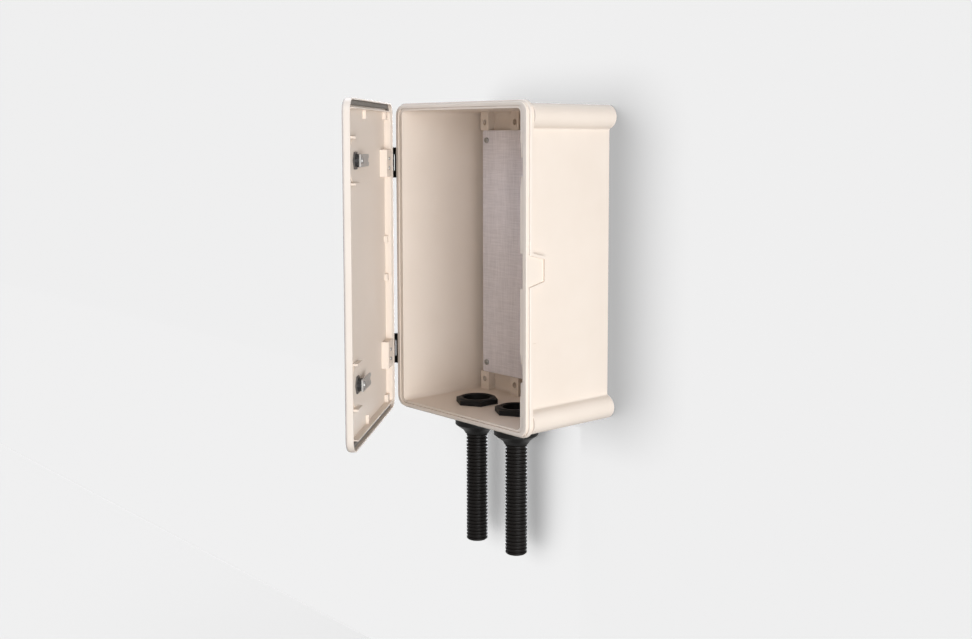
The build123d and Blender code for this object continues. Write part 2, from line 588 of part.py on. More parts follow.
# Hinges: box leaf, door leaf and pin at each end
ARM_X = -(FLANGE_WIDTH / 2 + LEAF_GAP)
FOOT_Y = LEAF_FOOT_GAP + FLANGE_THICK - BODY_DEPTH
TAIL_Y = HINGE_Y + KNUCKLE_RADIUS
LEAF_END_Y = FOOT_Y + LEAF_PAD_LENGTH
for end, sign in ENDS:
    middle = sign * HINGE_Z
    # Strap that runs from the knuckles round the flange to the seat on the shell
    with BuildPart() as box_leaf:
        with BuildSketch(Plane.XY.offset(middle - HINGE_LENGTH / 2)):
            with BuildLine():
                Polyline(
                    (HINGE_X, TAIL_Y - LEAF_THICK / 2),
                    (ARM_X, TAIL_Y - LEAF_THICK / 2),
                    (ARM_X, FOOT_Y),
                    (PAD_X, FOOT_Y),
                    (PAD_X, LEAF_END_Y),
                    (PAD_X - LEAF_THICK, LEAF_END_Y),
                    (PAD_X - LEAF_THICK, FOOT_Y + LEAF_THICK),
                    (ARM_X - LEAF_THICK, FOOT_Y + LEAF_THICK),
                    (ARM_X - LEAF_THICK, TAIL_Y + LEAF_THICK / 2),
                    (HINGE_X, TAIL_Y + LEAF_THICK / 2),
                    close=True,
                )
            make_face()
            with Locations((HINGE_X, HINGE_Y)):
                Circle(KNUCKLE_RADIUS)
                Circle(PIN_RADIUS + PIN_CLEAR, mode=Mode.SUBTRACT)
        extrude(amount=HINGE_LENGTH)
        with BuildSketch(Plane.XY.offset(middle - DOOR_KNUCKLE / 2 - KNUCKLE_GAP)):
            with Locations((HINGE_X, HINGE_Y)):
                Rectangle(
                    2 * (KNUCKLE_RADIUS + KNUCKLE_GAP),
                    2 * (KNUCKLE_RADIUS + LEAF_THICK / 2 + KNUCKLE_GAP),
                )
        extrude(amount=DOOR_KNUCKLE + 2 * KNUCKLE_GAP, mode=Mode.SUBTRACT)
        with BuildSketch(Plane.YZ.offset(PAD_X)):
            with Locations((FLANGE_THICK + HINGE_PAD_LENGTH / 2 - BODY_DEPTH, middle)):
                with GridLocations(1, BOX_SCREW_SPACING, 1, 2):
                    Circle(BOX_SCREW_RADIUS + PIN_CLEAR)
        extrude(amount=-LEAF_THICK, mode=Mode.SUBTRACT)
    save(box_leaf, f"hinge_box_leaf_{end}")

    # Middle knuckle with a flat tongue that slides into the door boss
    with BuildPart() as door_leaf:
        with BuildSketch(leaf_plane(middle - DOOR_KNUCKLE / 2)):
            with Locations(((TONGUE_END - HINGE_X) / 2, HINGE_LEVEL - PANEL_LEVEL + TONGUE_THICK / 2)):
                Rectangle(TONGUE_END - HINGE_X, TONGUE_THICK)
            Circle(KNUCKLE_RADIUS)
            Circle(PIN_RADIUS + PIN_CLEAR, mode=Mode.SUBTRACT)
        extrude(amount=DOOR_KNUCKLE)
        with BuildSketch(door_plane(PANEL_LEVEL + PAST)):
            with Locations((DOOR_SCREW_X, middle)):
                with GridLocations(1, DOOR_SCREW_SPACING, 1, 2):
                    Circle(DOOR_SCREW_RADIUS + PIN_CLEAR)
        extrude(amount=-TONGUE_SLOT - 2 * PAST, mode=Mode.SUBTRACT)
    save(door_leaf, f"hinge_door_leaf_{end}")

    with BuildPart() as hinge_pin:
        with BuildSketch(Plane.XY.offset(middle - HINGE_LENGTH / 2 - PIN_OVERHANG)):
            with Locations((HINGE_X, HINGE_Y)):
                Circle(PIN_RADIUS)
        extrude(amount=HINGE_LENGTH + 2 * PIN_OVERHANG)
        chamfer(hinge_pin.faces().filter_by(Axis.Z).edges(), PIN_CHAMFER)
    save(hinge_pin, f"hinge_pin_{end}")

with BuildPart() as hinge_box_screws:
    for radius, length in (
        (BOX_HEAD_RADIUS, -BOX_HEAD_HEIGHT),
        (BOX_SCREW_RADIUS, LEAF_THICK + BOX_SCREW_DEPTH),
    ):
        with BuildSketch(Plane.YZ.offset(PAD_X - LEAF_THICK)):
            with Locations((FLANGE_THICK + HINGE_PAD_LENGTH / 2 - BODY_DEPTH, 0)):
                for end, sign in ENDS:
                    with Locations((0, sign * HINGE_Z)):
                        with GridLocations(1, BOX_SCREW_SPACING, 1, 2):
                            Circle(radius)
        extrude(amount=length)
save(hinge_box_screws, "hinge_box_screws")

with BuildPart() as hinge_door_screws:
    for radius, length in (
        (DOOR_HEAD_RADIUS, -DOOR_HEAD_HEIGHT),
        (DOOR_SCREW_RADIUS, BOSS_HEIGHT - PIN_CLEAR),
    ):
        with BuildSketch(door_plane(BOSS_LEVEL)):
            for end, sign in ENDS:
                with Locations((DOOR_SCREW_X, sign * HINGE_Z)):
                    with GridLocations(1, DOOR_SCREW_SPACING, 1, 2):
                        Circle(radius)
        extrude(amount=length)
save(hinge_door_screws, "hinge_door_screws")

# Cam locks: housing, nut, spindle, cam and cam screw at each end
for end, sign in ENDS:
    axis_point = (LOCK_X, sign * LOCK_Z)

    with BuildPart() as lock_housing:
        with BuildSketch(door_plane(LOCK_SEAT)):
            with Locations(axis_point):
                Circle(LOCK_HEAD_RADIUS)
        extrude(amount=LOCK_HEAD_HEIGHT)
        fillet(lock_housing.faces().sort_by(DOOR_AXIS)[-1].edges(), LOCK_HEAD_ROUND)
        with BuildSketch(door_plane(LOCK_SEAT)):
            with Locations(axis_point):
                Circle(BARREL_RADIUS)
        extrude(amount=CAM_LEVEL + CAM_CLEAR - LOCK_SEAT)
        with BuildSketch(door_plane(LOCK_FRONT)):
            with Locations(axis_point):
                Circle(KEY_WELL_RADIUS)
        extrude(amount=-KEY_WELL_DEPTH, mode=Mode.SUBTRACT)
        with BuildSketch(door_plane(LOCK_FRONT)):
            with Locations(axis_point):
                Circle(SPINDLE_RADIUS + RUN_CLEAR)
        extrude(amount=CAM_LEVEL - LOCK_FRONT, mode=Mode.SUBTRACT)
    save(lock_housing, f"lock_housing_{end}")

    with BuildPart() as lock_nut:
        with BuildSketch(door_plane(NUT_LEVEL)):
            with Locations(axis_point):
                RegularPolygon(NUT_ACROSS_FLATS / 2, 6, major_radius=False)
                Circle(BARREL_RADIUS + PIN_CLEAR, mode=Mode.SUBTRACT)
        extrude(amount=-NUT_HEIGHT)
    save(lock_nut, f"lock_nut_{end}")

    # Spindle with a slotted head in the key well and a square end for the cam
    with BuildPart() as lock_spindle:
        with BuildSketch(door_plane(LOCK_FRONT - KEY_WELL_DEPTH + RUN_CLEAR)):
            with Locations(axis_point):
                Circle(KEY_HEAD_RADIUS)
        extrude(amount=KEY_HEAD_HEIGHT)
        with BuildSketch(door_plane(LOCK_FRONT - KEY_WELL_DEPTH + RUN_CLEAR + KEY_HEAD_HEIGHT)):
            with Locations(axis_point):
                Rectangle(KEY_SLOT_LENGTH, KEY_SLOT_WIDTH)
        extrude(amount=-KEY_SLOT_DEPTH, mode=Mode.SUBTRACT)
        with BuildSketch(door_plane(CAM_LEVEL)):
            with Locations(axis_point):
                Circle(SPINDLE_RADIUS)
        extrude(amount=LOCK_FRONT - KEY_WELL_DEPTH + RUN_CLEAR - CAM_LEVEL)
        with BuildSketch(door_plane(CAM_LEVEL)):
            with Locations(axis_point):
                Rectangle(SPINDLE_SQUARE, SPINDLE_SQUARE)
        extrude(amount=-CAM_THICK)
        with BuildSketch(door_plane(CAM_LEVEL - CAM_THICK)):
            with Locations(axis_point):
                Circle(CAM_SCREW_RADIUS + PIN_CLEAR)
        extrude(amount=CAM_SCREW_LENGTH + PIN_CLEAR, mode=Mode.SUBTRACT)
    save(lock_spindle, f"lock_spindle_{end}")

    # Flat cam, notched at its tip, that points to the hinges when unlocked
    with BuildPart() as lock_cam:
        with BuildSketch(door_plane(CAM_LEVEL)) as cam_outline:
            with Locations(axis_point):
                with Locations(((CAM_TAIL - CAM_REACH) / 2, 0)):
                    Rectangle(CAM_REACH + CAM_TAIL, CAM_WIDTH)
            fillet(cam_outline.vertices().group_by(Axis.X)[0], CAM_TIP_ROUND)
            with Locations(axis_point):
                with Locations((-CAM_REACH, 0)):
                    Rectangle(2 * CAM_NOTCH_DEPTH, CAM_NOTCH_WIDTH, mode=Mode.SUBTRACT)
                Rectangle(
                    SPINDLE_SQUARE + 2 * PIN_CLEAR, SPINDLE_SQUARE + 2 * PIN_CLEAR, mode=Mode.SUBTRACT
                )
        extrude(amount=-CAM_THICK)
    save(lock_cam, f"lock_cam_{end}")

    with BuildPart() as cam_screw:
        with BuildSketch(door_plane(CAM_LEVEL - CAM_THICK)):
            with Locations(axis_point):
                Circle(CAM_HEAD_RADIUS)
        extrude(amount=-CAM_HEAD_HEIGHT)
        chamfer(cam_screw.faces().sort_by(DOOR_AXIS)[0].edges(), CAM_HEAD_CHAMFER)
        with BuildSketch(door_plane(CAM_LEVEL - CAM_THICK)):
            with Locations(axis_point):
                Circle(CAM_SCREW_RADIUS)
        extrude(amount=CAM_SCREW_LENGTH)
    save(cam_screw, f"cam_screw_{end}")

# Conduit entries: locknut, washer, adaptor and corrugated conduit on each side
for side, sign in SIDES:
    entry_x = sign * ENTRY_SPACING / 2
    entry_axis = Axis((entry_x, ENTRY_Y, 0), (0, 0, 1))
    entry_section = Plane(origin=(entry_x, ENTRY_Y, 0), x_dir=(1, 0, 0), z_dir=(0, -1, 0))
    thread_top = FLOOR_Z + LOCKNUT_HEIGHT - THREAD_RECESS

    with BuildPart() as locknut:
        with BuildSketch(Plane.XY.offset(FLOOR_Z)):
            with Locations((entry_x, ENTRY_Y)):
                RegularPolygon(LOCKNUT_ACROSS_FLATS / 2, 6, major_radius=False, rotation=LOCKNUT_TURN)
                Circle(THREAD_RADIUS + LOCKNUT_CLEAR, mode=Mode.SUBTRACT)
        extrude(amount=LOCKNUT_HEIGHT)
        # Cone that takes off the top corners
        with BuildSketch(entry_section):
            with BuildLine():
                Polyline(
                    (0, FLOOR_Z),
                    (LOCKNUT_ACROSS_FLATS, FLOOR_Z),
                    (LOCKNUT_ACROSS_FLATS / 2, FLOOR_Z + LOCKNUT_HEIGHT - LOCKNUT_CHAMFER_DROP),
                    (LOCKNUT_ACROSS_FLATS / 2 - LOCKNUT_CHAMFER, FLOOR_Z + LOCKNUT_HEIGHT),
                    (0, FLOOR_Z + LOCKNUT_HEIGHT),
                    close=True,
                )
            make_face()
        revolve(axis=entry_axis, mode=Mode.INTERSECT)
    save(locknut, f"conduit_locknut_{side}")

    with BuildPart() as washer:
        with BuildSketch(Plane.XY.offset(COLLAR_Z)):
            with Locations((entry_x, ENTRY_Y)):
                Circle(WASHER_RADIUS)
                Circle(THREAD_RADIUS + LOCKNUT_CLEAR, mode=Mode.SUBTRACT)
        extrude(amount=WASHER_THICK)
    save(washer, f"sealing_washer_{side}")

    # Turned adaptor: thread, collar, cone and dome outside, stepped bore inside
    with BuildPart() as adaptor:
        with BuildSketch(entry_section):
            with BuildLine():
                Polyline(
                    (THREAD_BORE, thread_top),
                    (THREAD_RADIUS, thread_top),
                    (THREAD_RADIUS, COLLAR_Z),
                    (COLLAR_RADIUS, COLLAR_Z),
                    (COLLAR_RADIUS, COLLAR_Z - COLLAR_EDGE),
                    (CONE_RADIUS, CONE_Z),
                )
                SagittaArc((CONE_RADIUS, CONE_Z), (SOCKET_RADIUS + SOCKET_WALL, DOME_Z), -DOME_BULGE)
                Polyline(
                    (SOCKET_RADIUS + SOCKET_WALL, DOME_Z),
                    (SOCKET_RADIUS, DOME_Z),
                    (SOCKET_RADIUS, SOCKET_Z),
                    (CONDUIT_BORE_RADIUS, SOCKET_Z),
                    (THREAD_BORE, COLLAR_Z),
                    (THREAD_BORE, thread_top),
                )
            make_face()
        revolve(axis=entry_axis)
    save(adaptor, f"conduit_adaptor_{side}")

    # Conduit: plain end in the socket, then one ridge per pitch
    with BuildPart() as conduit:
        rings = [(SOCKET_Z, CONDUIT_ROOT_RADIUS), (DOME_Z, CONDUIT_ROOT_RADIUS)]
        for ridge in range(CONDUIT_RIDGES):
            ridge_top = DOME_Z - ridge * CONDUIT_PITCH
            rings.append((ridge_top - CONDUIT_PITCH / 2, CONDUIT_RADIUS))
            rings.append((ridge_top - CONDUIT_PITCH, CONDUIT_ROOT_RADIUS))
        for height, radius in rings:
            with BuildSketch(Plane.XY.offset(height)):
                with Locations((entry_x, ENTRY_Y)):
                    RegularPolygon(radius, CONDUIT_SIDES)
        loft(ruled=True)
        with BuildSketch(Plane.XY.offset(SOCKET_Z)):
            with Locations((entry_x, ENTRY_Y)):
                Circle(CONDUIT_BORE_RADIUS)
        extrude(amount=DOME_Z - SOCKET_Z - CONDUIT_RIDGES * CONDUIT_PITCH, mode=Mode.SUBTRACT)
    save(conduit, f"conduit_{side}")
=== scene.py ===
"""Link box with its door open: finishes, fine pieces, studio and camera.

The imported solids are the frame. Sizes are in millimetres and are turned into metres by MM. A level
is a distance in front of the flange face, and door pieces use the place that they have when the door
is shut. The lamps and the camera are placed in metres.
"""

import logging
from dataclasses import dataclass
from enum import Enum
from math import cos, pi, radians, sin
from typing import Callable, Optional, Sequence

import bpy
from mathutils import Euler, Matrix, Vector


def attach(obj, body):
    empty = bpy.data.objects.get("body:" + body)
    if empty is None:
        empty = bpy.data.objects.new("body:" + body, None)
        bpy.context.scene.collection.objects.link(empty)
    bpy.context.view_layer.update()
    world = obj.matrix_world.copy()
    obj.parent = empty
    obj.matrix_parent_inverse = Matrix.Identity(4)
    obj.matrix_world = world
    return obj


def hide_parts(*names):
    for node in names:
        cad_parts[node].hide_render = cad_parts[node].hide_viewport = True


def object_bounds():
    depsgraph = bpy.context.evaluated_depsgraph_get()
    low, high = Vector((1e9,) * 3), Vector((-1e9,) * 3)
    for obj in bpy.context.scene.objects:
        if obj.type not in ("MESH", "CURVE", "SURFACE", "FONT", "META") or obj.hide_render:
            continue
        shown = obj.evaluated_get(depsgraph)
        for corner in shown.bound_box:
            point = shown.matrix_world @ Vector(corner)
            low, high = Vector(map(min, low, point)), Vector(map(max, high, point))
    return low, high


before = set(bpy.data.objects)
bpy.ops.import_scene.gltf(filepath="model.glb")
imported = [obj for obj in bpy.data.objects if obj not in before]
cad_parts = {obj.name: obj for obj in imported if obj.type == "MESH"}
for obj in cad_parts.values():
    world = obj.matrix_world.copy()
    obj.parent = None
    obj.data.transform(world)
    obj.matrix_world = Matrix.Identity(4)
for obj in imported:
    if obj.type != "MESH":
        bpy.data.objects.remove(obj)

LOG = logging.getLogger("link_box")
CAD_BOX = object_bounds()
MM = 0.001
# Part of a noise's range that holds nearly all of its values
NOISE_LOW, NOISE_HIGH = 0.3, 0.7
# Length of one band of a wave texture whose scale is 1
WAVE_LENGTH = pi / 10
# Corners closer than this are one corner, in millimetres
WELD = 0.002
# Faces that meet at less than the first angle are one face, and edges sharper than the second
# are rounded, in degrees
FLAT_ANGLE, SHARP_ANGLE = 0.3, 34.0
# Edges sharper than this stay sharp in smooth shading, in degrees
CREASE = 38.0

Colour = tuple[float, float, float]
Point = tuple[float, float, float]
Socket = bpy.types.NodeSocket


class Slot(Enum):
    """Material slots of the part's record."""

    ENCLOSURE = "enclosure"
    DOOR_SKIN = "door_skin"
    GALVANISED_PLATE = "galvanised_plate"
    BRIGHT_STEEL = "bright_steel"
    GREY_SEAL = "grey_seal"
    HINGE_BLACK = "hinge_black"
    LOCK_BARREL = "lock_barrel"
    LOCK_NUT = "lock_nut"
    LOCK_CAM = "lock_cam"
    FITTING_BLACK = "fitting_black"
    CONDUIT_BLACK = "conduit_black"
    BLACK_RUBBER = "black_rubber"


class Body(Enum):
    """Bodies that move as one."""

    BOX = "box"
    DOOR = "door"
    LOCK_UPPER = "lock_upper"
    LOCK_LOWER = "lock_lower"


def paint(red: int, green: int, blue: int) -> Colour:
    """Turns a colour as seen on a screen into the linear colour of a shader.

    Args:
        red: Red, 0 to 255.
        green: Green, 0 to 255.
        blue: Blue, 0 to 255.

    Returns:
        The linear colour.
    """
    linear = []
    for value in (red, green, blue):
        share = value / 255
        linear.append(share / 12.92 if share < 0.04045 else ((share + 0.055) / 1.055) ** 2.4)
    return tuple(linear)


class Bench:
    """A new material and the few kinds of node that the finishes share."""

    def __init__(self, name: str) -> None:
        """Starts a material with a plain shader.

        Args:
            name: Name of the material.
        """
        self.material = bpy.data.materials.new(name)
        self.material.use_nodes = True
        self.tree = self.material.node_tree
        self.shader = self.tree.nodes["Principled BSDF"]
        self.place = self.tree.nodes.new("ShaderNodeTexCoord").outputs["Object"]

    def set(self, **values: float | tuple[float, ...]) -> None:
        """Sets sockets of the shader, with underscores for the spaces in their names."""
        for name, value in values.items():
            self.shader.inputs[name.replace("_", " ")].default_value = value

    def feed(self, name: str, output: Socket) -> None:
        """Links an output to a socket of the shader."""
        self.tree.links.new(output, self.shader.inputs[name])

    def spot(self, stretch: Point = (1.0, 1.0, 1.0), turn: Point = (0.0, 0.0, 0.0)) -> Socket:
        """Object place, stretched and then turned.

        Args:
            stretch: Factor along each axis.
            turn: Turn about each axis, in degrees.

        Returns:
            The mapped place.
        """
        made = self.tree.nodes.new("ShaderNodeMapping")
        made.inputs["Scale"].default_value = stretch
        made.inputs["Rotation"].default_value = [radians(angle) for angle in turn]
        self.tree.links.new(self.place, made.inputs["Vector"])
        return made.outputs["Vector"]

    def noise(self, size: float, detail: float, stretch: Point = (1.0, 1.0, 1.0)) -> Socket:
        """Cloudy noise.

        Args:
            size: Size of a cloud, in millimetres.
            detail: Octaves of finer noise.
            stretch: Factor along each axis; below one draws the clouds out.

        Returns:
            A value from 0 to 1.
        """
        made = self.tree.nodes.new("ShaderNodeTexNoise")
        made.inputs["Scale"].default_value = 1 / (size * MM)
        made.inputs["Detail"].default_value = detail
        self.tree.links.new(self.spot(stretch), made.inputs["Vector"])
        return made.outputs["Fac"]

    def bands(self, pitch: float, turn: Point) -> Socket:
        """Round bands across the turned X axis, as on a thread.

        Args:
            pitch: Width of a band, in millimetres.
            turn: Turn about each axis, in degrees.

        Returns:
            A value from 0 to 1.
        """
        made = self.tree.nodes.new("ShaderNodeTexWave")
        made.inputs["Scale"].default_value = WAVE_LENGTH / (pitch * MM)
        self.tree.links.new(self.spot(turn=turn), made.inputs["Vector"])
        return made.outputs["Fac"]

    def spread(self, value: Socket, low: float, high: float) -> Socket:
        """Stretches the middle of a noise over a range.

        Args:
            value: The noise.
            low: Result at the noise's dark parts.
            high: Result at its bright parts.

        Returns:
            The value in the new range.
        """
        made = self.tree.nodes.new("ShaderNodeMapRange")
        made.inputs["From Min"].default_value = NOISE_LOW
        made.inputs["From Max"].default_value = NOISE_HIGH
        made.inputs["To Min"].default_value = low
        made.inputs["To Max"].default_value = high
        self.tree.links.new(value, made.inputs["Value"])
        return made.outputs["Result"]

    def tint(self, value: Socket, dark: Colour, light: Colour) -> Socket:
        """Blends two colours by the middle of a noise.

        Args:
            value: The noise.
            dark: Colour at its dark parts.
            light: Colour at its bright parts.

        Returns:
            The colour.
        """
        made = self.tree.nodes.new("ShaderNodeMix")
        made.data_type = "RGBA"
        # Several sockets of a mix node share a name, so they go by their numbers
        factor, first, second = made.inputs[0], made.inputs[6], made.inputs[7]
        first.default_value = (*dark, 1.0)
        second.default_value = (*light, 1.0)
        self.tree.links.new(self.spread(value, 0.0, 1.0), factor)
        return made.outputs[2]

    def average(self, one: Socket, two: Socket, share: float = 0.5) -> Socket:
        """Mixes two values.

        Args:
            one: First value.
            two: Second value.
            share: Share of the second value.

        Returns:
            The mixed value.
        """
        made = self.tree.nodes.new("ShaderNodeMix")
        factor, first, second = made.inputs[0], made.inputs[2], made.inputs[3]
        factor.default_value = share
        self.tree.links.new(one, first)
        self.tree.links.new(two, second)
        return made.outputs[0]

    def relief(self, value: Socket, height: float) -> None:
        """Raises the surface by a value, with a height in millimetres.

        Args:
            value: The height map.
            height: Height of the brightest parts.
        """
        made = self.tree.nodes.new("ShaderNodeBump")
        made.inputs["Distance"].default_value = height * MM
        self.tree.links.new(value, made.inputs["Height"])
        self.feed("Normal", made.outputs["Normal"])


@dataclass(frozen=True)
class MouldedPlastic:
    """Polyester or nylon as it leaves the mould: satin, with a faint flow and a fine grain."""

    name: str
    colour: Colour
    shaded: Colour
    roughness: float
    grain: float
    depth: float
    flow: float = 60.0
    specular: float = 0.5
    grain_share: float = 0.35
    unevenness: float = 0.05

    def material(self) -> bpy.types.Material:
        """Makes the material.

        Returns:
            The material.
        """
        bench = Bench(self.name)
        cloud = bench.noise(self.flow, detail=4.0)
        grain = bench.noise(self.grain, detail=3.0)
        look = bench.average(cloud, grain, self.grain_share)
        bench.feed("Base Color", bench.tint(look, self.shaded, self.colour))
        low, high = self.roughness - self.unevenness, self.roughness + self.unevenness
        bench.feed("Roughness", bench.spread(cloud, low, high))
        bench.set(Specular_IOR_Level=self.specular)
        bench.relief(grain, self.depth)
        return bench.material


@dataclass(frozen=True)
class GalvanisedSheet:
    """Galvanised sheet with a linen finish: fine threads both ways and soft upright bands."""

    name: str
    dark: Colour
    light: Colour
    roughness: float
    thread: float
    draw: float
    band: float
    band_share: float
    band_draw: float = 10.0
    metallic: float = 0.25
    depth: float = 0.02
    unevenness: float = 0.08

    def material(self) -> bpy.types.Material:
        """Makes the material.

        Returns:
            The material.
        """
        bench = Bench(self.name)
        along = bench.noise(self.thread, detail=2.0, stretch=(1.0, 1.0, 1 / self.draw))
        across = bench.noise(self.thread, detail=2.0, stretch=(1 / self.draw, 1.0, 1.0))
        weave = bench.average(along, across)
        bands = bench.noise(self.band, detail=1.0, stretch=(1.0, 1.0, 1 / self.band_draw))
        look = bench.average(weave, bands, self.band_share)
        bench.feed("Base Color", bench.tint(look, self.dark, self.light))
        low, high = self.roughness - self.unevenness, self.roughness + self.unevenness
        bench.feed("Roughness", bench.spread(weave, high, low))
        bench.set(Metallic=self.metallic)
        bench.relief(weave, self.depth)
        return bench.material


@dataclass(frozen=True)
class PlatedMetal:
    """Zinc plating with fine tumbling marks, bright or dark."""

    name: str
    dark: Colour
    light: Colour
    roughness: float
    scratch: float
    metallic: float = 0.9
    thread_pitch: Optional[float] = None
    thread_turn: Point = (0.0, 0.0, 0.0)
    thread_depth: float = 0.4
    depth: float = 0.02
    draw: float = 5.0
    stain: float = 9.0
    unevenness: float = 0.07

    def material(self) -> bpy.types.Material:
        """Makes the material.

        Returns:
            The material.
        """
        bench = Bench(self.name)
        marks = bench.noise(self.scratch, detail=4.0, stretch=(1.0, 1.0, 1 / self.draw))
        stain = bench.noise(self.stain, detail=3.0)
        bench.feed("Base Color", bench.tint(bench.average(marks, stain), self.dark, self.light))
        low, high = self.roughness - self.unevenness, self.roughness + self.unevenness
        bench.feed("Roughness", bench.spread(stain, low, high))
        bench.set(Metallic=self.metallic)
        if self.thread_pitch is None:
            bench.relief(marks, self.depth)
        else:
            bench.relief(bench.bands(self.thread_pitch, self.thread_turn), self.thread_depth)
        return bench.material


@dataclass(frozen=True)
class FoamSeal:
    """Cellular rubber with an open skin, or plain rubber with fine cells."""

    name: str
    dark: Colour
    light: Colour
    cell: float
    pore_roughness: float = 0.9
    skin_roughness: float = 0.75
    specular: float = 0.25
    depth: float = 0.15

    def material(self) -> bpy.types.Material:
        """Makes the material.

        Returns:
            The material.
        """
        bench = Bench(self.name)
        pores = bench.noise(self.cell, detail=2.0)
        bench.feed("Base Color", bench.tint(pores, self.dark, self.light))
        bench.feed("Roughness", bench.spread(pores, self.pore_roughness, self.skin_roughness))
        bench.set(Specular_IOR_Level=self.specular)
        bench.relief(pores, self.depth)
        return bench.material


WARM_WHITE = (paint(227, 213, 199), paint(223, 208, 193))
# Specular level of the black plastics, which hardly shine
DULL = 0.12
FINISHES = {
    Slot.ENCLOSURE: MouldedPlastic(
        "warm_white_shell", *WARM_WHITE, roughness=0.48, grain=0.9, depth=0.02
    ),
    Slot.DOOR_SKIN: MouldedPlastic(
        "warm_white_door", *WARM_WHITE, roughness=0.46, grain=0.9, depth=0.02
    ),
    Slot.GALVANISED_PLATE: GalvanisedSheet(
        "galvanised_sheet",
        dark=paint(203, 198, 201),
        light=paint(243, 238, 241),
        roughness=0.5,
        thread=1.6,
        draw=16.0,
        band=38.0,
        band_share=0.4,
    ),
    Slot.BRIGHT_STEEL: PlatedMetal(
        "bright_zinc", paint(150, 148, 146), paint(190, 188, 185), roughness=0.38, scratch=0.7
    ),
    Slot.GREY_SEAL: FoamSeal("grey_foam", paint(112, 107, 102), paint(136, 130, 123), cell=0.9),
    Slot.HINGE_BLACK: MouldedPlastic(
        "hinge_nylon",
        colour=paint(18, 18, 17),
        shaded=paint(14, 14, 13),
        roughness=0.45,
        grain=0.7,
        depth=0.02,
        flow=14.0,
        specular=DULL,
    ),
    Slot.LOCK_BARREL: PlatedMetal(
        "dark_zinc_casting",
        dark=paint(48, 47, 47),
        light=paint(66, 65, 65),
        roughness=0.45,
        scratch=0.8,
        metallic=0.7,
        thread_pitch=1.0,
        thread_turn=(0.0, 0.0, 43.0),
    ),
    Slot.LOCK_NUT: PlatedMetal(
        "dull_zinc", paint(98, 96, 95), paint(128, 126, 124), roughness=0.42, scratch=0.6
    ),
    Slot.LOCK_CAM: PlatedMetal(
        "cam_zinc",
        dark=paint(170, 167, 163),
        light=paint(205, 202, 198),
        roughness=0.42,
        scratch=0.6,
        metallic=0.6,
    ),
    Slot.FITTING_BLACK: MouldedPlastic(
        "fitting_nylon",
        colour=paint(30, 29, 28),
        shaded=paint(25, 24, 23),
        roughness=0.45,
        grain=0.8,
        depth=0.03,
        flow=16.0,
        specular=DULL,
    ),
    Slot.CONDUIT_BLACK: MouldedPlastic(
        "conduit_nylon",
        colour=paint(23, 20, 18),
        shaded=paint(18, 15, 13),
        roughness=0.38,
        grain=0.9,
        depth=0.02,
        flow=12.0,
        specular=DULL,
    ),
    Slot.BLACK_RUBBER: FoamSeal("black_rubber", paint(20, 20, 20), paint(30, 29, 29), cell=0.6),
}
MATERIALS = {slot: finish.material() for slot, finish in FINISHES.items()}


def alone(piece: bpy.types.Object) -> None:
    """Selects one object and nothing else, and makes it active.

    Args:
        piece: The object.
    """
    bpy.ops.object.select_all(action="DESELECT")
    piece.select_set(True)
    bpy.context.view_layer.objects.active = piece


def edit_where(piece: bpy.types.Object, test: Callable[[Vector], bool], mode: str = "VERT") -> None:
    """Opens an object in edit mode with the vertices selected that pass a test of their place.

    Args:
        piece: The object.
        test: Test of a vertex's place, in metres.
        mode: Kind of element that is selected from those vertices.
    """
    alone(piece)
    bpy.ops.object.mode_set(mode="EDIT")
    bpy.ops.mesh.select_mode(type="VERT")
    bpy.ops.mesh.select_all(action="DESELECT")
    bpy.ops.object.mode_set(mode="OBJECT")
    for vertex in piece.data.vertices:
        vertex.select = test(vertex.co)
    bpy.ops.object.mode_set(mode="EDIT")
    bpy.ops.mesh.select_mode(type=mode)


def leave_edit() -> None:
    """Goes back to object mode."""
    bpy.ops.object.mode_set(mode="OBJECT")


def apply_modifiers(piece: bpy.types.Object) -> None:
    """Applies an object's modifiers in order.

    Args:
        piece: The object.
    """
    alone(piece)
    for modifier in list(piece.modifiers):
        bpy.ops.object.modifier_apply(modifier=modifier.name)


def smooth(piece: bpy.types.Object, crease: float = CREASE) -> None:
    """Shades an object smooth up to a crease angle in degrees, with flat faces kept flat.

    Args:
        piece: The object.
        crease: Edges sharper than this stay sharp.
    """
    alone(piece)
    bpy.ops.object.shade_smooth_by_angle(angle=radians(crease))
    weighted = piece.modifiers.new("flat_faces", "WEIGHTED_NORMAL")
    weighted.keep_sharp = True
    apply_modifiers(piece)


def dress(piece: bpy.types.Object, slot: Slot, body: Body, *nodes: str) -> bpy.types.Object:
    """Gives a piece its finish and its body, and puts it in the place of solids.

    Args:
        piece: The piece.
        slot: Slot that gives the finish.
        body: Body that the piece rides on.
        nodes: Solids that the piece stands for.

    Returns:
        The same piece.
    """
    piece.data.materials.clear()
    piece.data.materials.append(MATERIALS[slot])
    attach(piece, body.value)
    if nodes:
        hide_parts(*nodes)
    LOG.info("%s: %d faces on %s", piece.name, len(piece.data.polygons), body.value)
    return piece


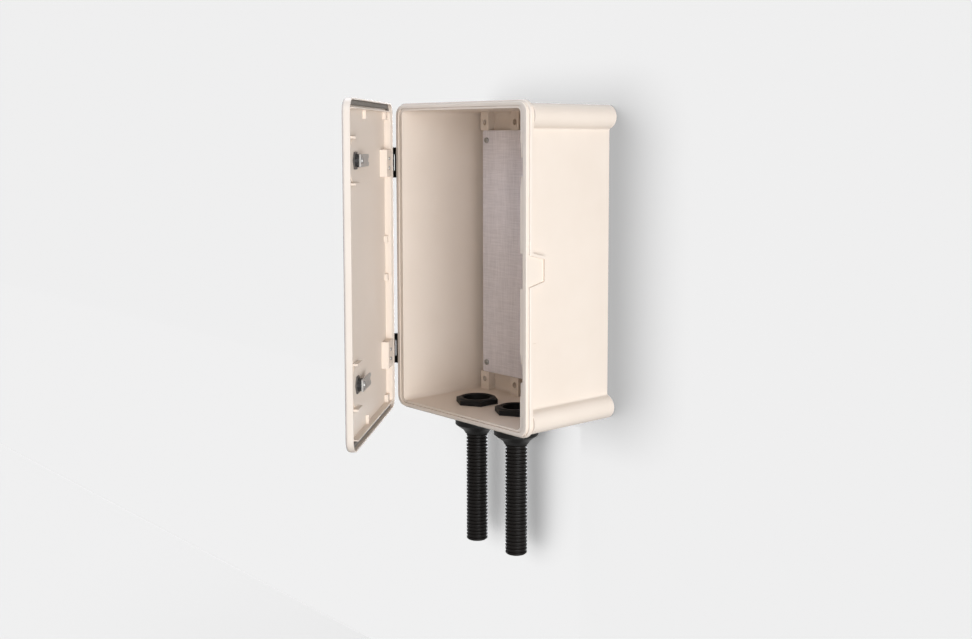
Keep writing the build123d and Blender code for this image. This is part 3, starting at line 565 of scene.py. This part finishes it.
def softened(node: str, edge: float, segments: int = 2) -> bpy.types.Object:
    """Copies a solid, merges its triangles into whole faces and rounds its sharp edges.

    Args:
        node: Name of the solid.
        edge: Width of the rounding, in millimetres.
        segments: Faces across each rounding.

    Returns:
        The new piece.
    """
    piece = bpy.data.objects.new(f"{node}_finished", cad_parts[node].data.copy())
    bpy.context.scene.collection.objects.link(piece)
    alone(piece)
    bpy.ops.mesh.customdata_custom_splitnormals_clear()
    bpy.ops.object.mode_set(mode="EDIT")
    bpy.ops.mesh.select_all(action="SELECT")
    bpy.ops.mesh.remove_doubles(threshold=WELD * MM)
    bpy.ops.mesh.dissolve_limited(angle_limit=radians(FLAT_ANGLE))
    leave_edit()
    bevel = piece.modifiers.new("rounded_edges", "BEVEL")
    bevel.limit_method = "ANGLE"
    bevel.angle_limit = radians(SHARP_ANGLE)
    bevel.width = edge * MM
    bevel.segments = segments
    apply_modifiers(piece)
    smooth(piece)
    return piece


@dataclass(frozen=True)
class CrossHeadScrew:
    """Screw with a rounded head and a cross recess, modelled once and copied to its places."""

    head_radius: float
    head_height: float
    shank_radius: float
    shank_length: float
    edge: float = 0.8
    slot_width: float = 0.9
    slot_share: float = 0.62
    slot_depth: float = 1.1
    sides: int = 32
    edge_faces: int = 3

    def model(self) -> bpy.types.Object:
        """Models the screw at the origin, its head along +Z from the plane that it sits on.

        Returns:
            The screw.
        """
        bpy.ops.object.select_all(action="DESELECT")
        head = self.head_height * MM
        bpy.ops.mesh.primitive_cylinder_add(
            vertices=self.sides, radius=self.head_radius * MM, depth=head, location=(0, 0, head / 2)
        )
        screw = bpy.context.object
        bpy.ops.object.transform_apply(location=True)
        edit_where(screw, lambda place: place.z > head / 2)
        bpy.ops.mesh.bevel(offset=self.edge * MM, segments=self.edge_faces, affect="EDGES")
        leave_edit()
        edit_where(screw, lambda place: place.z < head / 4, "FACE")
        bpy.ops.mesh.inset(thickness=(self.head_radius - self.shank_radius) * MM)
        down = {"value": (0, 0, -self.shank_length * MM)}
        bpy.ops.mesh.extrude_region_move(TRANSFORM_OT_translate=down)
        leave_edit()
        self.cut_cross(screw)
        smooth(screw)
        return screw

    def cut_cross(self, screw: bpy.types.Object) -> None:
        """Sinks the cross recess into the head.

        Args:
            screw: The screw at the origin.
        """
        reach = 2 * self.head_radius * self.slot_share * MM
        for size in ((reach, self.slot_width * MM), (self.slot_width * MM, reach)):
            bpy.ops.object.select_all(action="DESELECT")
            bpy.ops.mesh.primitive_cube_add(size=1, location=(0, 0, self.head_height * MM))
            cutter = bpy.context.object
            cutter.scale = (*size, 2 * self.slot_depth * MM)
            bpy.ops.object.transform_apply(location=True, scale=True)
            cut = screw.modifiers.new("cross", "BOOLEAN")
            cut.operation = "DIFFERENCE"
            cut.object = cutter
            apply_modifiers(screw)
            bpy.data.objects.remove(cutter, do_unlink=True)

    def group(self, name: str, places: Sequence[Matrix]) -> bpy.types.Object:
        """Copies the screw to its places and joins the copies into one piece.

        Args:
            name: Name of the piece.
            places: Where each copy goes.

        Returns:
            The piece.
        """
        pattern = self.model()
        copies = []
        for place in places:
            copy = bpy.data.objects.new(name, pattern.data.copy())
            bpy.context.scene.collection.objects.link(copy)
            copy.matrix_world = place
            copies.append(copy)
        bpy.data.objects.remove(pattern, do_unlink=True)
        bpy.ops.object.select_all(action="DESELECT")
        for copy in copies:
            copy.select_set(True)
        bpy.context.view_layer.objects.active = copies[0]
        bpy.ops.object.join()
        joined = bpy.context.object
        joined.name = name
        bpy.ops.object.transform_apply(location=True, rotation=True, scale=True)
        return joined


@dataclass
class OpenDoor:
    """Place of the open door: a shut place and level turned about the hinge line."""

    angle: float = 47.0
    hinge_level: float = 4.75
    flange_y: float = -176.0
    hinge_x: float = -170.0

    def matrix(self, x: float, level: float, z: float) -> Matrix:
        """Matrix that takes +Z out of the inner face of the door, at a shut place.

        Args:
            x: Shut place across the door.
            level: Level of the seat.
            z: Height.

        Returns:
            The matrix, in metres.
        """
        swing = radians(self.angle)
        hinge = Vector((self.hinge_x, self.flange_y - self.hinge_level, 0))
        across = Vector((cos(swing), -sin(swing), 0))
        outward = Vector((-sin(swing), -cos(swing), 0))
        spot = hinge + across * (x - self.hinge_x) + outward * (level - self.hinge_level)
        spot += Vector((0, 0, z))
        turn = Matrix((across, (-outward).cross(across), -outward)).transposed()
        return Matrix.Translation(spot * MM) @ turn.to_4x4()


@dataclass
class Cabinet:
    """Moulded box: flange, sealing ring, beads, lugs and keeps."""

    edge: float = 0.4
    tab_edge: float = 0.2

    def build(self) -> None:
        """Makes the moulding and the tabs of its keeps with rounded edges."""
        dress(softened("box_body", self.edge), Slot.ENCLOSURE, Body.BOX, "box_body")
        dress(softened("keep_tabs", self.tab_edge), Slot.ENCLOSURE, Body.BOX, "keep_tabs")


@dataclass
class MountingPlate:
    """Galvanised sheet on four bosses, with a screw at each corner."""

    edge: float = 0.3
    screw_x: float = 115.75
    screw_z: float = 190.2
    seat_y: float = -20.0
    screw: CrossHeadScrew = CrossHeadScrew(
        head_radius=4.75,
        head_height=3.0,
        shank_radius=2.5,
        shank_length=14.0,
        edge=1.2,
        slot_width=1.2,
        slot_depth=1.6,
    )

    def build(self) -> None:
        """Makes the sheet and its screws."""
        sheet = softened("mounting_plate", self.edge)
        dress(sheet, Slot.GALVANISED_PLATE, Body.BOX, "mounting_plate")
        forward = Matrix.Rotation(radians(90), 4, "X")
        places = []
        for x in (-self.screw_x, self.screw_x):
            for z in (-self.screw_z, self.screw_z):
                places.append(Matrix.Translation(Vector((x, self.seat_y, z)) * MM) @ forward)
        screws = self.screw.group("plate_screws_finished", places)
        dress(screws, Slot.BRIGHT_STEEL, Body.BOX, "plate_screws")


@dataclass
class Door:
    """Door moulding with its foam seal."""

    edge: float = 0.4
    seal_edge: float = 0.9
    seal_faces: int = 3

    def build(self) -> None:
        """Makes the moulding and the seal."""
        dress(softened("door", self.edge), Slot.DOOR_SKIN, Body.DOOR, "door")
        seal = softened("door_gasket", self.seal_edge, self.seal_faces)
        dress(seal, Slot.GREY_SEAL, Body.DOOR, "door_gasket")


@dataclass
class Hinges:
    """Two lift-out hinges: box leaves, door leaves, pins and their screws."""

    edge: float = 0.35
    middle_z: float = 154.0
    box_seat_x: float = -154.5
    box_screw_y: float = -157.0
    box_spacing: float = 28.0
    door_screw_x: float = -113.8
    door_seat_level: float = -2.0
    door_spacing: float = 15.0
    box_screw: CrossHeadScrew = CrossHeadScrew(
        head_radius=3.8, head_height=2.0, shank_radius=2.0, shank_length=9.0, edge=0.9
    )
    door_screw: CrossHeadScrew = CrossHeadScrew(
        head_radius=3.0,
        head_height=1.4,
        shank_radius=1.6,
        shank_length=11.2,
        edge=0.6,
        slot_width=0.7,
        slot_depth=0.8,
    )

    def build(self, door: OpenDoor) -> None:
        """Makes the leaves, dresses the pins and sets the screws.

        Args:
            door: Place of the open door.
        """
        for end in ("upper", "lower"):
            box_leaf = f"hinge_box_leaf_{end}"
            door_leaf = f"hinge_door_leaf_{end}"
            dress(softened(box_leaf, self.edge), Slot.HINGE_BLACK, Body.BOX, box_leaf)
            dress(softened(door_leaf, self.edge), Slot.HINGE_BLACK, Body.DOOR, door_leaf)
            pin = f"hinge_pin_{end}"
            dress(softened(pin, self.edge), Slot.BRIGHT_STEEL, Body.BOX, pin)
        aside = Matrix.Rotation(radians(-90), 4, "Y")
        box_places = []
        door_places = []
        for middle in (-self.middle_z, self.middle_z):
            for half in (-0.5, 0.5):
                seat = Vector((self.box_seat_x, self.box_screw_y, middle + half * self.box_spacing))
                box_places.append(Matrix.Translation(seat * MM) @ aside)
                height = middle + half * self.door_spacing
                door_places.append(door.matrix(self.door_screw_x, self.door_seat_level, height))
        box_group = self.box_screw.group("hinge_box_screws_finished", box_places)
        dress(box_group, Slot.BRIGHT_STEEL, Body.BOX, "hinge_box_screws")
        door_group = self.door_screw.group("hinge_door_screws_finished", door_places)
        dress(door_group, Slot.BRIGHT_STEEL, Body.DOOR, "hinge_door_screws")


@dataclass
class CamLock:
    """Cam lock: housing and nut on the door, spindle, cam and screw that turn."""

    end: str
    body: Body
    z: float
    x: float = 96.0
    cam_seat: float = -2.5
    edge: float = 0.3
    screw: CrossHeadScrew = CrossHeadScrew(
        head_radius=4.4,
        head_height=2.0,
        shank_radius=1.5,
        shank_length=9.0,
        edge=0.7,
        slot_width=1.0,
    )

    def build(self, door: OpenDoor) -> None:
        """Makes the pieces of the lock.

        Args:
            door: Place of the open door.
        """
        pieces = (
            ("lock_housing", Slot.LOCK_BARREL, Body.DOOR),
            ("lock_nut", Slot.LOCK_NUT, Body.DOOR),
            ("lock_spindle", Slot.LOCK_BARREL, self.body),
            ("lock_cam", Slot.LOCK_CAM, self.body),
        )
        for name, slot, body in pieces:
            node = f"{name}_{self.end}"
            dress(softened(node, self.edge), slot, body, node)
        node = f"cam_screw_{self.end}"
        seat = door.matrix(self.x, self.cam_seat, self.z)
        piece = self.screw.group(f"{node}_finished", [seat])
        dress(piece, Slot.BRIGHT_STEEL, self.body, node)


@dataclass
class ConduitEntry:
    """Conduit through the floor: locknut, washer, adaptor and corrugated conduit."""

    side: str
    x: float
    y: float = -101.0
    socket_z: float = -262.0
    dome_z: float = -288.0
    root: float = 15.3
    crest: float = 17.25
    wall: float = 1.3
    pitch: float = 5.76
    ridges: int = 31
    sides: int = 48
    edge: float = 0.5
    seam: float = 0.01
    crease: float = 50.0
    # Share of the pitch and of the ridge height at each ring of one ridge
    profile: tuple[tuple[float, float], ...] = (
        (0.10, 0.0),
        (0.17, 0.30),
        (0.25, 0.85),
        (0.33, 1.0),
        (0.67, 1.0),
        (0.75, 0.85),
        (0.83, 0.30),
        (0.90, 0.0),
        (1.00, 0.0),
    )

    def build(self) -> None:
        """Makes the pieces of the entry."""
        for name, slot in (
            ("conduit_locknut", Slot.FITTING_BLACK),
            ("sealing_washer", Slot.BLACK_RUBBER),
            ("conduit_adaptor", Slot.FITTING_BLACK),
        ):
            node = f"{name}_{self.side}"
            dress(softened(node, self.edge), slot, Body.BOX, node)
        node = f"conduit_{self.side}"
        dress(self.conduit(f"{node}_finished"), Slot.CONDUIT_BLACK, Body.BOX, node)

    def conduit(self, name: str) -> bpy.types.Object:
        """Models one ridge, repeats it along the tube and gives the wall its thickness.

        Args:
            name: Name of the piece.

        Returns:
            The conduit.
        """
        top = Vector((self.x, self.y, self.dome_z)) * MM
        bpy.ops.object.select_all(action="DESELECT")
        bpy.ops.mesh.primitive_circle_add(vertices=self.sides, radius=self.root * MM, location=top)
        tube = bpy.context.object
        tube.name = name
        bpy.ops.object.transform_apply(location=True)
        bpy.ops.object.mode_set(mode="EDIT")
        bpy.ops.mesh.select_mode(type="EDGE")
        bpy.ops.mesh.select_all(action="SELECT")
        depth, radius = 0.0, self.root
        for share, rise in self.profile:
            fall = (share - depth) * self.pitch * MM
            wide = self.root + rise * (self.crest - self.root)
            bpy.ops.mesh.extrude_region_move(TRANSFORM_OT_translate={"value": (0, 0, -fall)})
            ring = (top.x, top.y, top.z - share * self.pitch * MM)
            bpy.ops.transform.resize(value=(wide / radius, wide / radius, 1), center_override=ring)
            depth, radius = share, wide
        leave_edit()
        ridges = tube.modifiers.new("ridges", "ARRAY")
        ridges.count = self.ridges
        ridges.use_relative_offset = False
        ridges.use_constant_offset = True
        ridges.constant_offset_displace = (0, 0, -self.pitch * MM)
        ridges.use_merge_vertices = True
        ridges.merge_threshold = self.seam * MM
        apply_modifiers(tube)
        edit_where(tube, lambda place: place.z > top.z - self.seam * MM, "EDGE")
        plain = (self.socket_z - self.dome_z) * MM
        bpy.ops.mesh.extrude_region_move(TRANSFORM_OT_translate={"value": (0, 0, plain)})
        bpy.ops.mesh.select_all(action="SELECT")
        bpy.ops.mesh.normals_make_consistent(inside=False)
        leave_edit()
        wall = tube.modifiers.new("wall", "SOLIDIFY")
        wall.thickness = self.wall * MM
        wall.offset = -1.0
        apply_modifiers(tube)
        smooth(tube, self.crease)
        return tube


@dataclass(frozen=True)
class SoftLamp:
    """Round soft lamp that faces the middle of the box, with its place and size in metres."""

    name: str
    place: Point
    size: tuple[float, float]
    power: float
    colour: Colour

    def hang(self) -> bpy.types.Object:
        """Adds the lamp.

        Returns:
            The lamp.
        """
        data = bpy.data.lights.new(self.name, "AREA")
        data.shape = "ELLIPSE"
        data.size, data.size_y = self.size
        data.energy = self.power
        data.color = self.colour
        lamp = bpy.data.objects.new(self.name, data)
        bpy.context.scene.collection.objects.link(lamp)
        lamp.location = self.place
        lamp.rotation_euler = facing(self.place)
        return lamp


def facing(place: Point) -> Euler:
    """Turn of a lamp at a place that shines at the origin."""
    return (-Vector(place)).to_track_quat("-Z", "Y").to_euler()


def linked(
    name: str, pieces: Sequence[bpy.types.Object], state: str = "INCLUDE"
) -> bpy.types.Collection:
    """Gathers pieces for a lamp's links.

    Args:
        name: Name of the collection.
        pieces: The pieces.
        state: Whether the lamp includes or excludes them.

    Returns:
        The collection.
    """
    group = bpy.data.collections.new(name)
    for piece in pieces:
        group.objects.link(piece)
    for entry in group.collection_objects:
        entry.light_linking.link_state = state
    return group


@dataclass(frozen=True)
class ShadowSheet:
    """Plain sheet that takes the soft shadow of some pieces, and is clear from behind.

    Its two lamps light nothing else. The sun is the way towards them, and spread is how wide they
    look, in degrees. The tone of the sheet is dark, so that light from the object hardly shows on
    it, and level is the strength at which it looks as pale as the backdrop. Depth is the share of
    the light that casts a shadow.
    """

    name: str
    middle: Point
    size: tuple[float, float]
    tilt: float
    sun: Point
    spread: float
    depth: float
    casters: tuple[str, ...]
    level: float
    tone: float = 0.05

    def build(self) -> bpy.types.Object:
        """Hangs the sheet and lights it.

        Returns:
            The sheet.
        """
        sheet = self.hang()
        self.light(sheet)
        return sheet

    def hang(self) -> bpy.types.Object:
        """Makes the sheet, seen from its front only.

        Returns:
            The sheet.
        """
        bpy.ops.object.select_all(action="DESELECT")
        bpy.ops.mesh.primitive_plane_add(size=1, rotation=(radians(self.tilt), 0, 0))
        sheet = bpy.context.object
        sheet.name = self.name
        sheet.scale = (self.size[0] * MM, self.size[1] * MM, 1)
        sheet.location = Vector(self.middle) * MM
        bpy.ops.object.transform_apply(location=True, rotation=True, scale=True)
        bench = Bench(f"plain_{self.name}")
        grey = (self.tone, self.tone, self.tone, 1.0)
        bench.set(Base_Color=grey, Roughness=1.0, Specular_IOR_Level=0.0)
        nodes, links = bench.tree.nodes, bench.tree.links
        side = nodes.new("ShaderNodeNewGeometry").outputs["Backfacing"]
        clear = nodes.new("ShaderNodeBsdfTransparent")
        choice = nodes.new("ShaderNodeMixShader")
        links.new(side, choice.inputs[0])
        links.new(bench.shader.outputs[0], choice.inputs[1])
        links.new(clear.outputs[0], choice.inputs[2])
        links.new(choice.outputs[0], nodes["Material Output"].inputs["Surface"])
        sheet.data.materials.append(bench.material)
        sheet.visible_diffuse = False
        sheet.visible_glossy = False
        sheet.visible_shadow = False
        return sheet

    def light(self, sheet: bpy.types.Object) -> None:
        """Adds a lamp that casts the shadow and an even lamp that keeps it light.

        Args:
            sheet: The sheet.
        """
        for kind, share in (("shadow", self.depth), ("even", 1 - self.depth)):
            data = bpy.data.lights.new(f"{self.name}_{kind}_lamp", "SUN")
            data.angle = radians(self.spread)
            data.energy = share * self.level
            data.use_shadow = kind == "shadow"
            lamp = bpy.data.objects.new(data.name, data)
            bpy.context.scene.collection.objects.link(lamp)
            lamp.rotation_euler = facing(self.sun)
            lamp.light_linking.receiver_collection = linked(f"{lamp.name}_lights", [sheet])
            if kind == "shadow":
                casters = [bpy.data.objects[f"{node}_finished"] for node in self.casters]
                lamp.light_linking.blocker_collection = linked(f"{lamp.name}_casters", casters)


@dataclass
class Studio:
    """Pale floor and wall, soft lamps and the camera."""

    backdrop: Colour = paint(239, 239, 239)
    floor_drop: float = 300.0
    stage_size: float = 6000.0
    ambient: float = 0.15
    ambient_colour: Colour = (0.93, 0.98, 1.1)
    lens: float = 44.96
    sensor: float = 36.0
    shift: tuple[float, float] = (-0.0175, -0.0733)
    eye: Point = (1.4456, -1.3730, 0.1946)
    yaw: float = 48.332
    pitch: float = 5.206
    lamps: tuple[SoftLamp, ...] = (
        SoftLamp("key_lamp", (2.35, -0.86, -0.1), (2.3, 2.0), 79.0, (0.96, 0.985, 1.01)),
        SoftLamp("fill_lamp", (-0.1, -1.9, 1.2), (1.4, 1.4), 14.5, (0.84, 0.98, 1.2)),
        SoftLamp("top_lamp", (-1.0, 0.1, 2.1), (1.3, 1.3), 28.0, (0.92, 0.98, 1.08)),
        SoftLamp("back_lamp", (-1.8, 1.6, -0.1), (1.6, 1.6), 55.0, (0.96, 0.98, 1.04)),
    )

    def build(self) -> None:
        """Sets the stage, the light and the camera."""
        bpy.context.scene.view_settings.view_transform = "Standard"
        self.light_room()
        stage = [sheet.build() for sheet in self.sheets()]
        for lamp in self.lamps:
            hung = lamp.hang()
            hung.light_linking.receiver_collection = linked(f"{lamp.name}_spares", stage, "EXCLUDE")
        self.set_camera()

    def sheets(self) -> list[ShadowSheet]:
        """Floor, wall behind the box and screen behind the conduits.

        Returns:
            The sheets.
        """
        hanging = ("conduit_left", "conduit_right", "conduit_adaptor_left", "conduit_adaptor_right")
        whole = (self.stage_size, self.stage_size)
        floor = ShadowSheet(
            "floor",
            middle=(0.0, 0.0, CAD_BOX[0].z / MM - self.floor_drop),
            size=whole,
            tilt=0.0,
            sun=(0.0, -0.3, 1.0),
            spread=100.0,
            depth=0.2,
            casters=("box_body", *hanging),
            level=56.6,
        )
        wall = ShadowSheet(
            "wall",
            middle=(0.0, 3.0, 0.0),
            size=whole,
            tilt=90.0,
            sun=(-0.36, -1.0, 0.02),
            spread=41.0,
            depth=0.455,
            casters=("box_body",),
            level=57.1,
        )
        screen = ShadowSheet(
            "screen",
            middle=(-1425.0, -60.0, -1626.0),
            size=(3150.0, 2750.0),
            tilt=90.0,
            sun=(0.0, -1.0, -0.4),
            spread=108.0,
            depth=1.0,
            casters=hanging,
            level=58.4,
        )
        return [floor, wall, screen]

    def light_room(self) -> None:
        """Lights the room evenly and shows the pale backdrop colour behind the object."""
        world = bpy.data.worlds.new("pale_room")
        bpy.context.scene.world = world
        world.use_nodes = True
        nodes, links = world.node_tree.nodes, world.node_tree.links
        room = nodes["Background"]
        room.inputs["Color"].default_value = (*self.ambient_colour, 1.0)
        room.inputs["Strength"].default_value = self.ambient
        seen = nodes.new("ShaderNodeBackground")
        seen.inputs["Color"].default_value = (*self.backdrop, 1.0)
        path = nodes.new("ShaderNodeLightPath")
        shown = nodes.new("ShaderNodeMath")
        shown.operation = "MAXIMUM"
        links.new(path.outputs["Is Camera Ray"], shown.inputs[0])
        links.new(path.outputs["Is Transmission Ray"], shown.inputs[1])
        mirrored = nodes.new("ShaderNodeMath")
        mirrored.operation = "MAXIMUM"
        links.new(shown.outputs[0], mirrored.inputs[0])
        links.new(path.outputs["Is Glossy Ray"], mirrored.inputs[1])
        choice = nodes.new("ShaderNodeMixShader")
        links.new(mirrored.outputs[0], choice.inputs[0])
        links.new(room.outputs[0], choice.inputs[1])
        links.new(seen.outputs[0], choice.inputs[2])
        links.new(choice.outputs[0], nodes["World Output"].inputs["Surface"])

    def set_camera(self) -> None:
        """Sets the camera where the photographer stood."""
        data = bpy.data.cameras.new("camera")
        data.sensor_fit = "HORIZONTAL"
        data.sensor_width = self.sensor
        data.lens = self.lens
        data.shift_x, data.shift_y = self.shift
        camera = bpy.data.objects.new("camera", data)
        bpy.context.scene.collection.objects.link(camera)
        camera.location = self.eye
        camera.rotation_euler = (radians(90 - self.pitch), 0, radians(self.yaw))
        bpy.context.scene.camera = camera


def main() -> None:
    """Builds each sub-assembly, then the studio."""
    logging.basicConfig(level=logging.INFO, format="%(name)s %(message)s")
    door = OpenDoor()
    Cabinet().build()
    MountingPlate().build()
    Door().build()
    Hinges().build(door)
    CamLock("upper", Body.LOCK_UPPER, z=162.0).build(door)
    CamLock("lower", Body.LOCK_LOWER, z=-162.0).build(door)
    ConduitEntry("left", x=-48.0).build()
    ConduitEntry("right", x=48.0).build()
    Studio().build()


if __name__ == "__main__":
    main()
